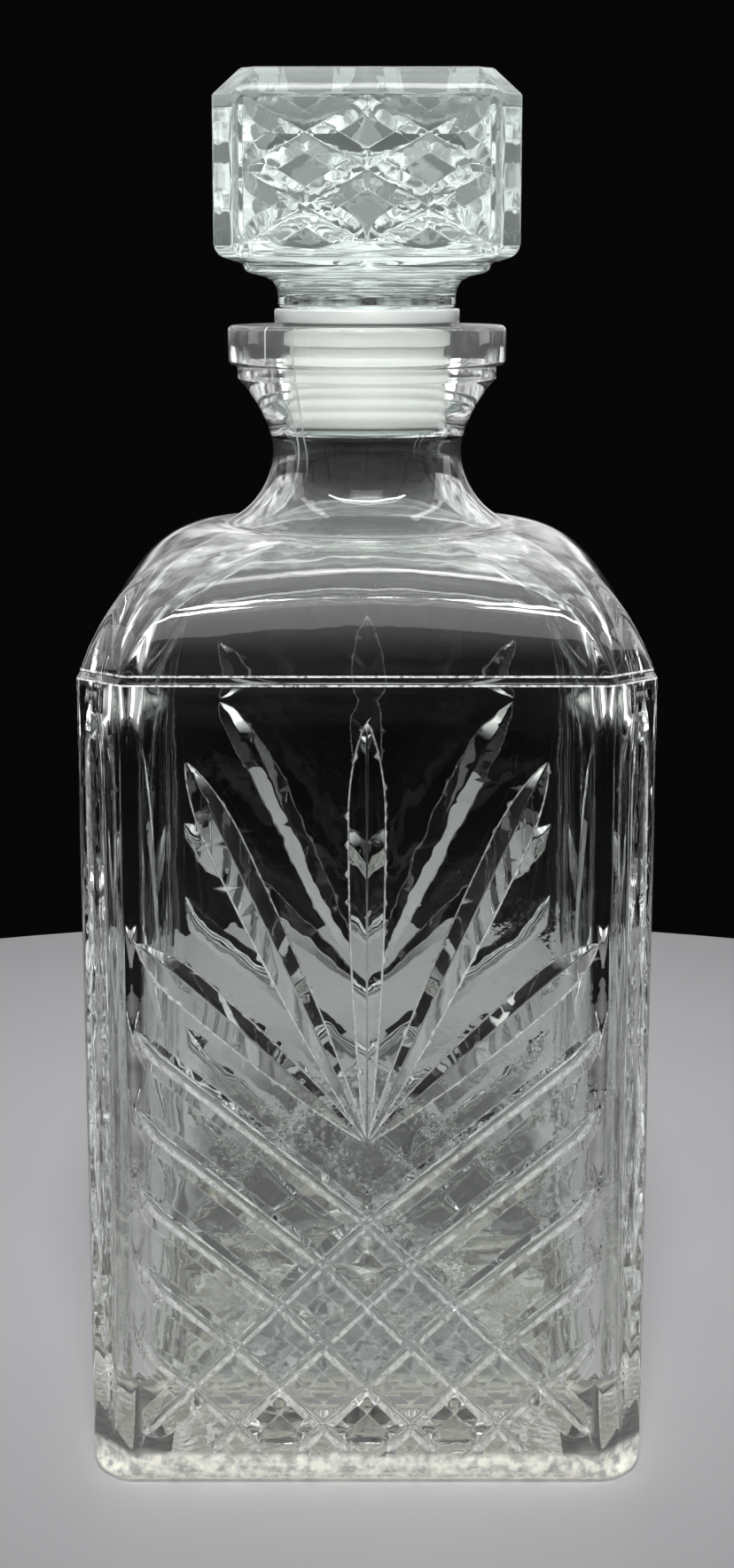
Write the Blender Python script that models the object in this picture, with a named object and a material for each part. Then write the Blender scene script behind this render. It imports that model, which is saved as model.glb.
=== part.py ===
"""Square cut-glass spirit decanter: hollow bottle, solid glass stopper and its ribbed plastic seal.

The frame: origin at the centre of the base on the surface it stands on, +Z up, and a cut face
towards -Y. The body is a chamfered square that turns round over the shoulder into the neck.
"""
import math

import bmesh
import bpy
from mathutils import Vector
from mathutils.geometry import delaunay_2d_cdt

MM = 0.001
GAP = 0.3                      # clearance between touching pieces

# Body of the bottle
HALF_WIDTH = 47.5              # flat to axis
CHAMFER_SHARE = 8.0 / 47.5     # corner chamfer, as a share of the half width
BASE_EDGE = 3.5                # radius round the foot
PUNT_HALF, PUNT_DEPTH, PUNT_RUN = 30.0, 1.0, 3.0     # recess under the base
PANEL_TOP = 138.9
SHOULDER_FOOT = (46.9, 140.3)
SHOULDER_TOP = (25.5, 160.6)
SHOULDER_PULLS = ((43.5, 150.0), (38.0, 161.0))      # what its curve leans towards
WALL = 6.7
FLOOR = 11.0
FLOOR_FILLET = 8.0
INSIDE_TOP = 131.0             # height to which the inside is straight
INSIDE_FOOT = (40.2, 136.0)    # where the inside of the shoulder begins
INSIDE_PULLS = ((35.0, 156.8), (38.8, 147.0))
INSIDE_SHOULDER_TOP = (24.3, 157.0)

# Neck and lip
NECK_RADIUS, NECK_WAIST_Z = 16.5, 173.5
NECK_PULLS = ((20.5, 162.2), (16.6, 167.5))
FLARE_PULLS = ((16.6, 177.0), (19.0, 181.5))
FLARE_TOP = (21.6, 184.6)
COLLAR_RADIUS, COLLAR_BOTTOM = 22.6, 185.6
LIP_RADIUS, LIP_BOTTOM, LIP_TOP = 24.2, 187.9, 194.8
LIP_EDGE = 0.9
MOUTH_RADIUS, MOUTH_EDGE = 15.2, 0.3
SEAT_FOOT = (14.3, 176.5)      # lower end of the slightly conical bore that takes the seal
NECK_INSIDE = (13.2, 171.0)    # narrowest part of the inside
NECK_INSIDE_PULLS = ((13.8, 174.8), (13.2, 173.5))
FLARE_INSIDE_PULLS = ((13.2, 166.5), (17.0, 160.0))

# Cuts in each face: (x, z) from the face's centre line and the base
FAN_FOCUS_Z = 61.9
FAN_CENTRE_TIP = (0.0, 133.0)
FAN_SIDE_TIPS = [(29.2, 126.5), (37.6, 96.0)]
FAN_HALF_WIDTH, FAN_DEPTH, FAN_FULL = 3.0, 1.8, (0.62, 0.82)
LATTICE_APEX_Z = 47.6
LATTICE_STEP_X, LATTICE_STEP_Z = 7.45, 7.4
LATTICE_SLOPE = LATTICE_STEP_Z / LATTICE_STEP_X
LATTICE_BOTTOM_Z = 6.4
LATTICE_LINES = 5
FLUTE_SLOPE = 0.828            # rise over run of the parallel side cuts
CUT_LIMIT_X = 38.0             # every cut stops short of the corner
GROOVE_HALF_WIDTH, GROOVE_DEPTH, FLUTE_FULL = 1.2, 1.1, (0.0, 0.9)
CORNER_CUT_BOTTOM, CORNER_CUT_TOP = 9.0, 133.0
CORNER_CUT_HALF_WIDTH, CORNER_CUT_DEPTH, CORNER_CUT_FULL = 3.2, 0.9, (0.6, 0.92)

# Stopper
HEAD_HALF_WIDTH = 25.25
HEAD_CHAMFER_SHARE = 3.1 / 25.25
HEAD_TOP, HEAD_CROWN_BEVEL = 236.6, 4.6
HEAD_BOTTOM, HEAD_FOOT_BEVEL, HEAD_FOOT_RISE = 205.8, 3.0, 2.2
HEAD_COLLAR = ((21.0, 204.4), (21.4, 205.2))
STOPPER_NECK_RADIUS, STOPPER_NECK_TOP = 15.4, 200.0
STOPPER_NECK_PULLS = ((15.8, 202.2), (17.5, 203.2))
STOPPER_NECK_END = (20.2, 203.6)
STAR_CENTRE_Z = 220.2
STAR_STEP_X, STAR_STEP_Z = 10.1, 5.9
STAR_FIELD_X, STAR_FIELD_Z = 19.8, 11.2
STAR_HALF_WIDTH, STAR_DEPTH, STAR_TAPER = 2.4, 1.3, 5.0
SHANK_RADIUS, SHANK_EDGE, SHANK_PAST_SEAL = 12.0, 1.0, 0.6

# Seal
FLANGE_RADIUS, FLANGE_HEIGHT = 16.1, 2.5
SLEEVE_BOTTOM = 177.6
RIB_COUNT, RIB_HEIGHT = 5, 0.7
RIB_SHAPE = (0.0, 0.35, 0.55, 0.7)     # foot, crest and end of a rib, as shares of the pitch
PLAIN_BOTTOM, PLAIN_TOP = 0.5, 2.5     # heights of sleeve without ribs at its two ends
SEAL_STEPS = 48

GLASS_COLOUR, GLASS_ROUGHNESS = (0.92, 0.96, 0.94), 0.03
SEAL_COLOUR, SEAL_ROUGHNESS = (0.86, 0.88, 0.86), 0.4
SIDE_STEPS = 10                # points along each flat of the chamfered square
CORNER_STEPS = 2
CURVE_STEPS = 7
QUARTER_TURNS = (0, 90, 180, 270)
MERGE = 0.001                  # distance under which two points on a flat are one


def clear_scene():
    for obj in list(bpy.data.objects):
        bpy.data.objects.remove(obj)


def material(name, colour, roughness, transmission=0.0):
    mat = bpy.data.materials.new(name)
    mat.use_nodes = True
    shader = mat.node_tree.nodes["Principled BSDF"]
    shader.inputs["Base Color"].default_value = (*colour, 1.0)
    shader.inputs["Roughness"].default_value = roughness
    shader.inputs["Metallic"].default_value = 0.0
    shader.inputs["Transmission Weight"].default_value = transmission
    shader.inputs["IOR"].default_value = 1.52
    return mat


def bezier(p0, p1, p2, p3, steps=CURVE_STEPS):
    """Points on a cubic curve, without its first point."""
    points = []
    for i in range(1, steps + 1):
        t = i / steps
        w = ((1 - t) ** 3, 3 * t * (1 - t) ** 2, 3 * t * t * (1 - t), t ** 3)
        points.append(tuple(sum(wk * p[a] for wk, p in zip(w, (p0, p1, p2, p3))) for a in (0, 1)))
    return points


def quarter(centre, radius, start, end, steps=4):
    """Points on an arc from start to end degrees round centre, in the (half width, z) plane."""
    angles = [math.radians(start + (end - start) * i / steps) for i in range(steps + 1)]
    return [(centre[0] + radius * math.cos(a), centre[1] + radius * math.sin(a)) for a in angles]


def chamfered_square(angle, share):
    """Distance from the axis to a chamfered square of half width 1."""
    c, s = abs(math.cos(angle)), abs(math.sin(angle))
    return min(1.0 / max(c, s), (2.0 - share) / (c + s))


def section_angles(share):
    """Angles round the section, with one on each corner of the chamfered square."""
    corner = math.atan2(1.0 - share, 1.0)
    angles = []
    for side in range(4):
        middle = side * math.pi / 2
        angles += [middle - corner + 2 * corner * i / SIDE_STEPS for i in range(SIDE_STEPS)]
        rest = math.pi / 2 - 2 * corner
        angles += [middle + corner + rest * i / CORNER_STEPS for i in range(CORNER_STEPS)]
    return angles


def ring(half_width, z, squareness, share):
    """One loop of the loft: square where squareness is 1, round where it is 0."""
    points = []
    for angle in section_angles(share):
        radius = half_width * (1 + squareness * (chamfered_square(angle, share) - 1))
        points.append(Vector((radius * math.cos(angle), radius * math.sin(angle), z)) * MM)
    return points


def loft(rings):
    """A closed solid through the rings, capped at both ends, with each flat as one face."""
    bm = bmesh.new()
    loops = [[bm.verts.new(p) for p in points] for points in rings]
    count = len(loops[0])
    for low, high in zip(loops, loops[1:]):
        for i in range(count):
            j = (i + 1) % count
            bm.faces.new((low[i], low[j], high[j], high[i]))
    bm.faces.new(list(reversed(loops[0])))
    bm.faces.new(loops[-1])
    bmesh.ops.recalc_face_normals(bm, faces=bm.faces)
    bmesh.ops.dissolve_limit(bm, angle_limit=math.radians(0.2), verts=bm.verts, edges=bm.edges)
    return bm


def add_object(name, bm, mat):
    mesh = bpy.data.meshes.new(name)
    bm.to_mesh(mesh)
    bm.free()
    mesh.materials.append(mat)
    mesh.shade_smooth()
    mesh.set_sharp_from_angle(angle=math.radians(28))
    obj = bpy.data.objects.new(name, mesh)
    bpy.context.scene.collection.objects.link(obj)
    return obj


class Groove:
    """A straight V cut in a flat, between two (across, up) points.

    It is full size between the two shares of its length in full, and runs out to a point
    beyond them, so (0, 1) has square ends. Its walls are flat: depth falls off with width.
    """

    def __init__(self, start, end, half_width, depth, full=(0.0, 1.0)):
        self.start, self.end = Vector(start), Vector(end)
        self.half_width, self.slope, self.full = half_width, depth / half_width, full
        self.length = (self.end - self.start).length
        self.along = (self.end - self.start) / self.length
        self.across = Vector((-self.along.y, self.along.x))

    def width_at(self, share):
        low, high = self.full
        if share < 0.0 or share > 1.0:
            return 0.0
        if share < low:
            return self.half_width * share / low
        if share > high:
            return self.half_width * (1.0 - share) / (1.0 - high)
        return self.half_width

    def depth_at(self, point):
        offset = point - self.start
        share = offset.dot(self.along) / self.length
        share = min(max(share, 0.0), 1.0) if -1e-6 < share < 1 + 1e-6 else share
        return max(0.0, self.slope * (self.width_at(share) - abs(offset.dot(self.across))))

    def lines(self):
        """The bottom, the two edges and the cross lines, as chains of points."""
        chains = {side: [] for side in (-1, 0, 1)}
        for share in sorted({0.0, 1.0, *self.full}):
            centre = self.start.lerp(self.end, share)
            width = self.width_at(share)
            for side in chains:
                chains[side].append(centre + self.across * width * side)
        crossings = [list(points) for points in zip(chains[-1], chains[0], chains[1])]
        return list(chains.values()) + crossings


def cut_flat(bm, turn, grooves):
    """Replace the flat that faces turn degrees round from -Y by the same flat with its cuts."""
    angle = math.radians(turn)
    out = Vector((math.sin(angle), -math.cos(angle), 0))
    across = Vector((math.cos(angle), math.sin(angle), 0))
    flats = [f for f in bm.faces if f.normal.dot(out) > 0.9999]
    flat = max(flats, key=lambda f: f.calc_area())
    border = list(flat.verts)
    plane = border[0].co.dot(out)
    coords = [Vector((v.co.dot(across), v.co.z)) / MM for v in border]
    edges = [(i, (i + 1) % len(border)) for i in range(len(border))]
    face = [list(range(len(border)))]
    for groove in grooves:
        for chain in groove.lines():
            first = len(coords)
            coords += chain
            edges += [(first + i, first + i + 1) for i in range(len(chain) - 1)]
    bmesh.ops.delete(bm, geom=[flat], context="FACES_ONLY")
    points, _, triangles, origins, _, _ = delaunay_2d_cdt(coords, edges, face, 1, MERGE)
    verts = []
    for point, origin in zip(points, origins):
        on_border = [i for i in origin if i < len(border)]
        if on_border:
            verts.append(border[on_border[0]])
            continue
        depth = max(groove.depth_at(point) for groove in grooves)
        verts.append(bm.verts.new(out * (plane - depth * MM) + across * point.x * MM
                                  + Vector((0, 0, point.y * MM))))
    for triangle in triangles:
        bm.faces.new([verts[i] for i in triangle])


def bottle_face_cuts():
    """The fan, the crossed lattice under it and the side flutes of one face."""
    focus = (0.0, FAN_FOCUS_Z)
    tips = [FAN_CENTRE_TIP] + [(side * x, z) for x, z in FAN_SIDE_TIPS for side in (-1, 1)]
    cuts = [Groove(focus, tip, FAN_HALF_WIDTH, FAN_DEPTH, FAN_FULL) for tip in tips]
    for side in (-1, 1):
        for k in range(LATTICE_LINES):
            node = (side * k * LATTICE_STEP_X, LATTICE_APEX_Z - k * LATTICE_STEP_Z)
            run = min((node[1] - LATTICE_BOTTOM_Z) / LATTICE_SLOPE, CUT_LIMIT_X + abs(node[0]))
            foot = (node[0] - side * run, node[1] - run * LATTICE_SLOPE)
            end = (side * CUT_LIMIT_X, node[1] + (CUT_LIMIT_X - abs(node[0])) * FLUTE_SLOPE)
            cuts.append(Groove(foot, node, GROOVE_HALF_WIDTH, GROOVE_DEPTH))
            cuts.append(Groove(node, end, GROOVE_HALF_WIDTH, GROOVE_DEPTH, FLUTE_FULL))
    return cuts


def bottle_corner_cuts():
    """The long pointed cut down one corner."""
    return [Groove((0.0, CORNER_CUT_BOTTOM), (0.0, CORNER_CUT_TOP), CORNER_CUT_HALF_WIDTH,
                   CORNER_CUT_DEPTH, CORNER_CUT_FULL)]


def bottle_outside():
    """(half width, z, squareness) up the outside, from the punt to the lip's top."""
    edge = quarter((HALF_WIDTH - BASE_EDGE, BASE_EDGE), BASE_EDGE, -90, 0)
    body = [(PUNT_HALF, PUNT_DEPTH), (PUNT_HALF + PUNT_RUN, 0.0)] + edge + [(HALF_WIDTH, PANEL_TOP)]
    shoulder = [SHOULDER_FOOT] + bezier(SHOULDER_FOOT, *SHOULDER_PULLS, SHOULDER_TOP, 9)
    waist = (NECK_RADIUS, NECK_WAIST_Z)
    flare = bezier(SHOULDER_TOP, *NECK_PULLS, waist)
    upper = bezier(waist, *FLARE_PULLS, FLARE_TOP, 6)
    collar = [(COLLAR_RADIUS, COLLAR_BOTTOM), (COLLAR_RADIUS, LIP_BOTTOM)]
    lip = quarter((LIP_RADIUS - LIP_EDGE, LIP_BOTTOM + LIP_EDGE), LIP_EDGE, -90, 0, 3)
    lip += quarter((LIP_RADIUS - LIP_EDGE, LIP_TOP - LIP_EDGE), LIP_EDGE, 0, 90, 3)
    stations = [(w, z, 1.0) for w, z in body]
    stations += [(w, z, squareness_over(w, SHOULDER_TOP, SHOULDER_FOOT)) for w, z in shoulder]
    stations += [(w, z, 0.0) for w, z in flare[1:] + upper + collar + lip]
    return stations


def squareness_over(half_width, top, foot):
    """1 at the foot of the shoulder, fading to 0 at its top."""
    share = min(max((half_width - top[0]) / (foot[0] - top[0]), 0.0), 1.0)
    return share * share * (3 - 2 * share)


def bore_radius(z):
    """Radius of the conical bore at height z."""
    share = (z - SEAT_FOOT[1]) / (LIP_TOP - MOUTH_EDGE - SEAT_FOOT[1])
    return SEAT_FOOT[0] + (MOUTH_RADIUS - SEAT_FOOT[0]) * share


def bottle_inside():
    """(half width, z, squareness) down the inside, from the mouth to the floor."""
    inner = HALF_WIDTH - WALL
    mouth = [(MOUTH_RADIUS + MOUTH_EDGE, LIP_TOP), (MOUTH_RADIUS, LIP_TOP - MOUTH_EDGE), SEAT_FOOT]
    neck = bezier(SEAT_FOOT, *NECK_INSIDE_PULLS, NECK_INSIDE, 3)
    flare = bezier(NECK_INSIDE, *FLARE_INSIDE_PULLS, INSIDE_SHOULDER_TOP)
    shoulder = bezier(INSIDE_SHOULDER_TOP, *INSIDE_PULLS, INSIDE_FOOT, 8)
    fillet = quarter((inner - FLOOR_FILLET, FLOOR + FLOOR_FILLET), FLOOR_FILLET, 0, -90, 4)
    stations = [(w, z, 0.0) for w, z in mouth + neck + flare]
    for w, z in shoulder:
        stations.append((w, z, squareness_over(w, INSIDE_SHOULDER_TOP, INSIDE_FOOT)))
    stations += [(w, z, 1.0) for w, z in [(inner, INSIDE_TOP)] + fillet]
    return stations


def make_bottle():
    stations = bottle_outside() + bottle_inside()
    bm = loft([ring(w, z, s, CHAMFER_SHARE) for w, z, s in stations])
    for turn in QUARTER_TURNS:
        cut_flat(bm, turn, bottle_face_cuts())
        cut_flat(bm, turn + 45, bottle_corner_cuts())
    return add_object("bottle", bm, material("bottle_glass", GLASS_COLOUR, GLASS_ROUGHNESS, 1.0))


def stopper_face_cuts():
    """Crossed cuts through a diamond grid, each ending at the plain border."""
    cuts = []
    for m in (-1, 0, 1):
        for slope in (-1, 1):
            ends = []
            for x in (-STAR_FIELD_X, STAR_FIELD_X):
                rise = slope * (x / STAR_STEP_X - 2 * m) * STAR_STEP_Z
                inside = min(max(rise, -STAR_FIELD_Z), STAR_FIELD_Z)
                x_inside = x + (inside - rise) * slope * STAR_STEP_X / STAR_STEP_Z
                ends.append((x_inside, STAR_CENTRE_Z + inside))
            taper = STAR_TAPER / math.dist(*ends)
            cuts.append(Groove(ends[0], ends[1], STAR_HALF_WIDTH, STAR_DEPTH, (taper, 1.0 - taper)))
    return cuts


def stopper_stations():
    """(half width, z, squareness) from the shank's end up to the crown."""
    bottom = SLEEVE_BOTTOM - SHANK_PAST_SEAL
    neck_bottom = LIP_TOP + GAP + FLANGE_HEIGHT + GAP
    shank = [(SHANK_RADIUS - SHANK_EDGE, bottom), (SHANK_RADIUS, bottom + SHANK_EDGE),
             (SHANK_RADIUS, neck_bottom)]
    neck_top = (STOPPER_NECK_RADIUS, STOPPER_NECK_TOP)
    neck = [(STOPPER_NECK_RADIUS, neck_bottom), neck_top]
    neck += bezier(neck_top, *STOPPER_NECK_PULLS, STOPPER_NECK_END, 5)
    foot_half = HEAD_HALF_WIDTH - HEAD_FOOT_BEVEL
    crown_half = HEAD_HALF_WIDTH - HEAD_CROWN_BEVEL
    head = [(foot_half, HEAD_BOTTOM), (HEAD_HALF_WIDTH, HEAD_BOTTOM + HEAD_FOOT_RISE),
            (HEAD_HALF_WIDTH, HEAD_TOP - HEAD_CROWN_BEVEL), (crown_half, HEAD_TOP)]
    stations = [(w, z, 0.0) for w, z in shank + neck + list(HEAD_COLLAR)]
    return stations + [(w, z, 1.0) for w, z in head]


def make_stopper():
    bm = loft([ring(w, z, s, HEAD_CHAMFER_SHARE) for w, z, s in stopper_stations()])
    for turn in QUARTER_TURNS:
        cut_flat(bm, turn, stopper_face_cuts())
    return add_object("stopper", bm, material("stopper_glass", GLASS_COLOUR, GLASS_ROUGHNESS, 1.0))


def sleeve_radius(z):
    """Outside of the sleeve between its ribs, whose crests stand GAP clear of the bore."""
    return bore_radius(z) - GAP - RIB_HEIGHT


def make_seal():
    """A thin sleeve with a flange on the lip and ribs that fill the bore."""
    inside = SHANK_RADIUS + GAP
    flange_bottom = LIP_TOP + GAP
    flange_top = flange_bottom + FLANGE_HEIGHT
    outside = [(inside, SLEEVE_BOTTOM), (sleeve_radius(SLEEVE_BOTTOM), SLEEVE_BOTTOM)]
    pitch = (LIP_TOP - PLAIN_TOP - SLEEVE_BOTTOM) / RIB_COUNT
    for i in range(RIB_COUNT):
        heights = [SLEEVE_BOTTOM + PLAIN_BOTTOM + (i + share) * pitch for share in RIB_SHAPE]
        raised = [0.0, RIB_HEIGHT, RIB_HEIGHT, 0.0]
        outside += [(sleeve_radius(z) + rise, z) for z, rise in zip(heights, raised)]
    outside += [(sleeve_radius(flange_bottom), flange_bottom), (FLANGE_RADIUS, flange_bottom),
                (FLANGE_RADIUS, flange_top), (inside, flange_top)]
    bm = bmesh.new()
    profile = [bm.verts.new(Vector((r, 0, z)) * MM) for r, z in outside]
    edges = [bm.edges.new((a, b)) for a, b in zip(profile, profile[1:] + profile[:1])]
    bmesh.ops.spin(bm, geom=profile + edges, cent=(0, 0, 0), axis=(0, 0, 1),
                   angle=2 * math.pi, steps=SEAL_STEPS, use_merge=True)
    bmesh.ops.remove_doubles(bm, verts=bm.verts, dist=1e-7)
    bmesh.ops.recalc_face_normals(bm, faces=bm.faces)
    return add_object("stopper_seal", bm, material("seal_plastic", SEAL_COLOUR, SEAL_ROUGHNESS))


def main():
    clear_scene()
    make_bottle()
    make_stopper()
    make_seal()


main()
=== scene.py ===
"""Looks of the square cut-glass decanter: fine cut-glass meshes, glass and plastic materials,
a pale round table top, soft studio light and the camera.

The decanter's lengths are in millimetres until they go into a mesh or a shader node. The table,
the lights and the camera are in metres.
"""
import math

import bpy
import numpy as np
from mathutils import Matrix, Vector
from mathutils.geometry import delaunay_2d_cdt


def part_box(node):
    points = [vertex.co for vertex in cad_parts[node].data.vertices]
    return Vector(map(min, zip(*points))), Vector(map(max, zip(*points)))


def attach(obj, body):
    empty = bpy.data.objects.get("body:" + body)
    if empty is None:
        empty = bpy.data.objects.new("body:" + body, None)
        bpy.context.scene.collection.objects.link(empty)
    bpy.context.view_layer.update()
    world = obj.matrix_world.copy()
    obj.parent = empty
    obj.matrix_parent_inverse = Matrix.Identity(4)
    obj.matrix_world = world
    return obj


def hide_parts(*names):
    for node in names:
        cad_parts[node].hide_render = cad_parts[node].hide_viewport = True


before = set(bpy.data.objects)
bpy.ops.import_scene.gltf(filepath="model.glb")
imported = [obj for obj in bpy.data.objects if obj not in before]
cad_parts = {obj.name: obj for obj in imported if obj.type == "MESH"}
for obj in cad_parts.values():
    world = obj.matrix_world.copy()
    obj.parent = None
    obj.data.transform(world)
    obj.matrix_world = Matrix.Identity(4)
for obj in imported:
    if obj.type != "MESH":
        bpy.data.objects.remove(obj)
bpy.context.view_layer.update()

MM = 0.001
BOTTLE_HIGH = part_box("bottle")[1] / MM
STOPPER_LOW, STOPPER_HIGH = (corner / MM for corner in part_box("stopper"))
SEAL_LOW, SEAL_HIGH = (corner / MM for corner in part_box("stopper_seal"))

# Body of the bottle, outside
HALF_WIDTH = BOTTLE_HIGH.x
CHAMFER = 8.0                  # leg of the corner chamfer
EDGE_RADIUS = 2.2              # round between a flat and its chamfer
BASE_EDGE = 3.5                # round between the underside and the sides
FOOT_CORNER = 6.0              # corner radius where the body meets the table
PUNT_HALF, PUNT_DEPTH = 30.0, 1.0    # shallow recess under the base
PANEL_TOP = 138.9              # upper end of the cut flats
SHOULDER_FOOT = (46.9, 140.3)
SHOULDER_TOP = (25.5, 160.6)

# Neck and lip
NECK_RADIUS, NECK_WAIST_Z = 16.5, 173.5
COLLAR_RADIUS, COLLAR_BOTTOM, COLLAR_EDGE = 22.6, 185.2, 0.8
LIP_TOP = BOTTLE_HIGH.z
LIP_RADIUS, LIP_BOTTOM, LIP_EDGE = 24.2, LIP_TOP - 6.9, 1.0
MOUTH_RADIUS, MOUTH_EDGE = 15.2, 0.3
SEAT_FOOT = (14.3, 176.5)      # lower end of the slightly conical bore that takes the seal
NECK_INSIDE = (13.2, 171.0)    # narrowest part of the inside
INSIDE_FOOT, INSIDE_SHOULDER_TOP = (40.2, 136.0), (24.3, 157.0)

# Inside
WALL = 6.7
INSIDE_HALF = HALF_WIDTH - WALL
INSIDE_CORNER = 9.0
FLOOR, FLOOR_FILLET = 11.0, 8.0

# Cuts in each face, as (across, up)
FAN_FOCUS = (0.0, 61.9)
FAN_TIPS = [(0.0, 133.0), (29.2, 126.5), (37.8, 96.2)]
FAN_CUT = {"half_width": 3.0, "depth": 1.8}
FAN_TAPER = (0.75, 0.22)       # as shares of a ray's length
LATTICE_APEX_Z = 47.6
LATTICE_STEP_X, LATTICE_STEP_Z = 7.45, 7.4
LATTICE_SLOPE = LATTICE_STEP_Z / LATTICE_STEP_X
LATTICE_BOTTOM_Z = 6.4
LATTICE_LINES = 5
FLUTE_SLOPE = 0.828
CUT_LIMIT = 38.1               # how far out the cuts reach
FLUTE_TURN = 34.6              # where a flute starts to curve upwards
FLUTE_BEND = (1.8, 2.2)        # the middle of that curve, measured from its start
FLUTE_RISE = 5.0               # how far the curve climbs
CUT_SOFTNESS = 0.14            # rounding of the edges of lattice cuts and flutes
CHANNEL = {"half_width": 1.05, "depth": 0.8, "floor": 0.35, "layer": 1, "softness": CUT_SOFTNESS}
LATTICE_BEVEL = {"half_width": 3.2, "depth": 0.85, "softness": CUT_SOFTNESS}
FLUTE_BEVEL = {"half_width": 2.5, "depth": 0.7, "softness": CUT_SOFTNESS}
CORNER_CUT = {"half_width": 3.6, "depth": 1.1, "taper": (70.0, 12.0)}
CORNER_CUT_LOW, CORNER_CUT_HIGH = 7.5, 134.0

# Stopper
HEAD_HALF = STOPPER_HIGH.x
HEAD_TOP = STOPPER_HIGH.z
HEAD_CHAMFER = 3.1
HEAD_EDGE_RADIUS = 0.8
HEAD_CROWN_BEVEL = 4.6
HEAD_BOTTOM = 205.8
STAR_CENTRE_Z = 220.2
STAR_STEP_X, STAR_STEP_Z = 10.1, 5.9
STAR_FIELD_X, STAR_FIELD_Z = 20.2, 11.6
STAR_CUT = {"half_width": 2.8, "depth": 1.5, "taper": (4.0, 4.0), "softness": 0.12}
FRAME_X, FRAME_Z, FRAME_ROUND = 20.9, 12.1, 3.0
FRAME_LINE = {"half_width": 0.7, "depth": 0.35, "softness": 0.1, "layer": 1}
FLANK_BOTTOM = 208.4           # lower end of the head's upright sides
HEAD_FOOT_RADIUS = 22.6
CUP = (19.9, 203.5)            # where the neck has spread out under the head
STOPPER_NECK_RADIUS, STOPPER_NECK_EDGE = 15.4, 0.5
SHANK_RADIUS, SHANK_EDGE = 12.0, 1.2

# Seal
FLANGE_TOP = SEAL_HIGH.z
FLANGE_RADIUS, FLANGE_EDGE = SEAL_HIGH.x, 0.4
FLANGE_BOTTOM = LIP_TOP + 0.3
SLEEVE_BOTTOM = SEAL_LOW.z + 0.4
SLEEVE_EDGE = 0.8
SEAL_RIBS = 4
RIBS_TOP = 189.4
RIB_CLEARANCE, RIB_HEIGHT = 0.6, 0.25
RIB_SPAN = (0.06, 0.94)        # where a rib starts and ends in its share of the sleeve
WAIST_ABOVE_RIBS = ((0.0, 0.7), (0.3, 1.5), (1.6, 1.5), (2.0, 0.6))   # (height, gap to the bore)
PIECE_GAP = 0.3                # air between the seal and the stopper

# Meshes
BOTTLE_STEPS = (32, 5, 6)      # steps along a flat, an edge's arc and a chamfer
STOPPER_STEPS = (24, 3, 3)
SEAL_STEPS = (24, 3, 6)
FACE_NET = (1.6, 2.4, 0.12)    # spacing along the cuts and between them, and the least gap
CORNER_NET = (2.0, 1.6, 0.2)
STOPPER_NET = (0.8, 1.2, 0.09)
SLOPE_STEP = 0.02              # half the step over which a slope is measured
EDGE_LINE = 1.6                # how much a steeper cut has brighter edges
MERGE_POWER = 10               # how sharply one cut gives way to a deeper one
TAPER_POWER = 0.8              # how blunt the ends of a cut are
SOFT_SHARE = 0.45              # most of a cut's half width that its rounding may take
CHAIN_MARGIN, FIELD_MARGIN = 0.15, 0.3   # how far a cut's points and loose points stay inside a flat
CHAIN_GAP, MERGE_GAP = 0.05, 0.01        # closer points on a cut are left out, or joined
NEAR_END = (0.04, 0.12, 0.25)  # extra points near a cut's ends, as shares of its taper


# ---------------------------------------------------------------- curves and grooves

def bezier(p0, p1, p2, p3, steps):
    """Points on a cubic curve, without its first point."""
    t = np.linspace(0, 1, steps + 1)[1:, None]
    p0, p1, p2, p3 = (np.array(p, float) for p in (p0, p1, p2, p3))
    return list((1 - t) ** 3 * p0 + 3 * t * (1 - t) ** 2 * p1 + 3 * t * t * (1 - t) * p2 + t ** 3 * p3)


def arc(centre, radius, start, end, steps):
    """Points on a circle between two angles in degrees."""
    angles = np.radians(np.linspace(start, end, steps + 1))
    return [(centre[0] + radius * math.cos(a), centre[1] + radius * math.sin(a)) for a in angles]


def smooth_step(x):
    """0 up to x = 0 and 1 from x = 1 on, with a smooth rise between."""
    x = min(max(x, 0.0), 1.0)
    return x * x * (3 - 2 * x)


def soft_positive(x, softness):
    """The larger of x and 0, rounded only where x is within softness of 0."""
    near = np.clip(x, -softness, softness)
    return np.where(x > softness, x, (near + softness) ** 2 / (4 * softness))


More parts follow.
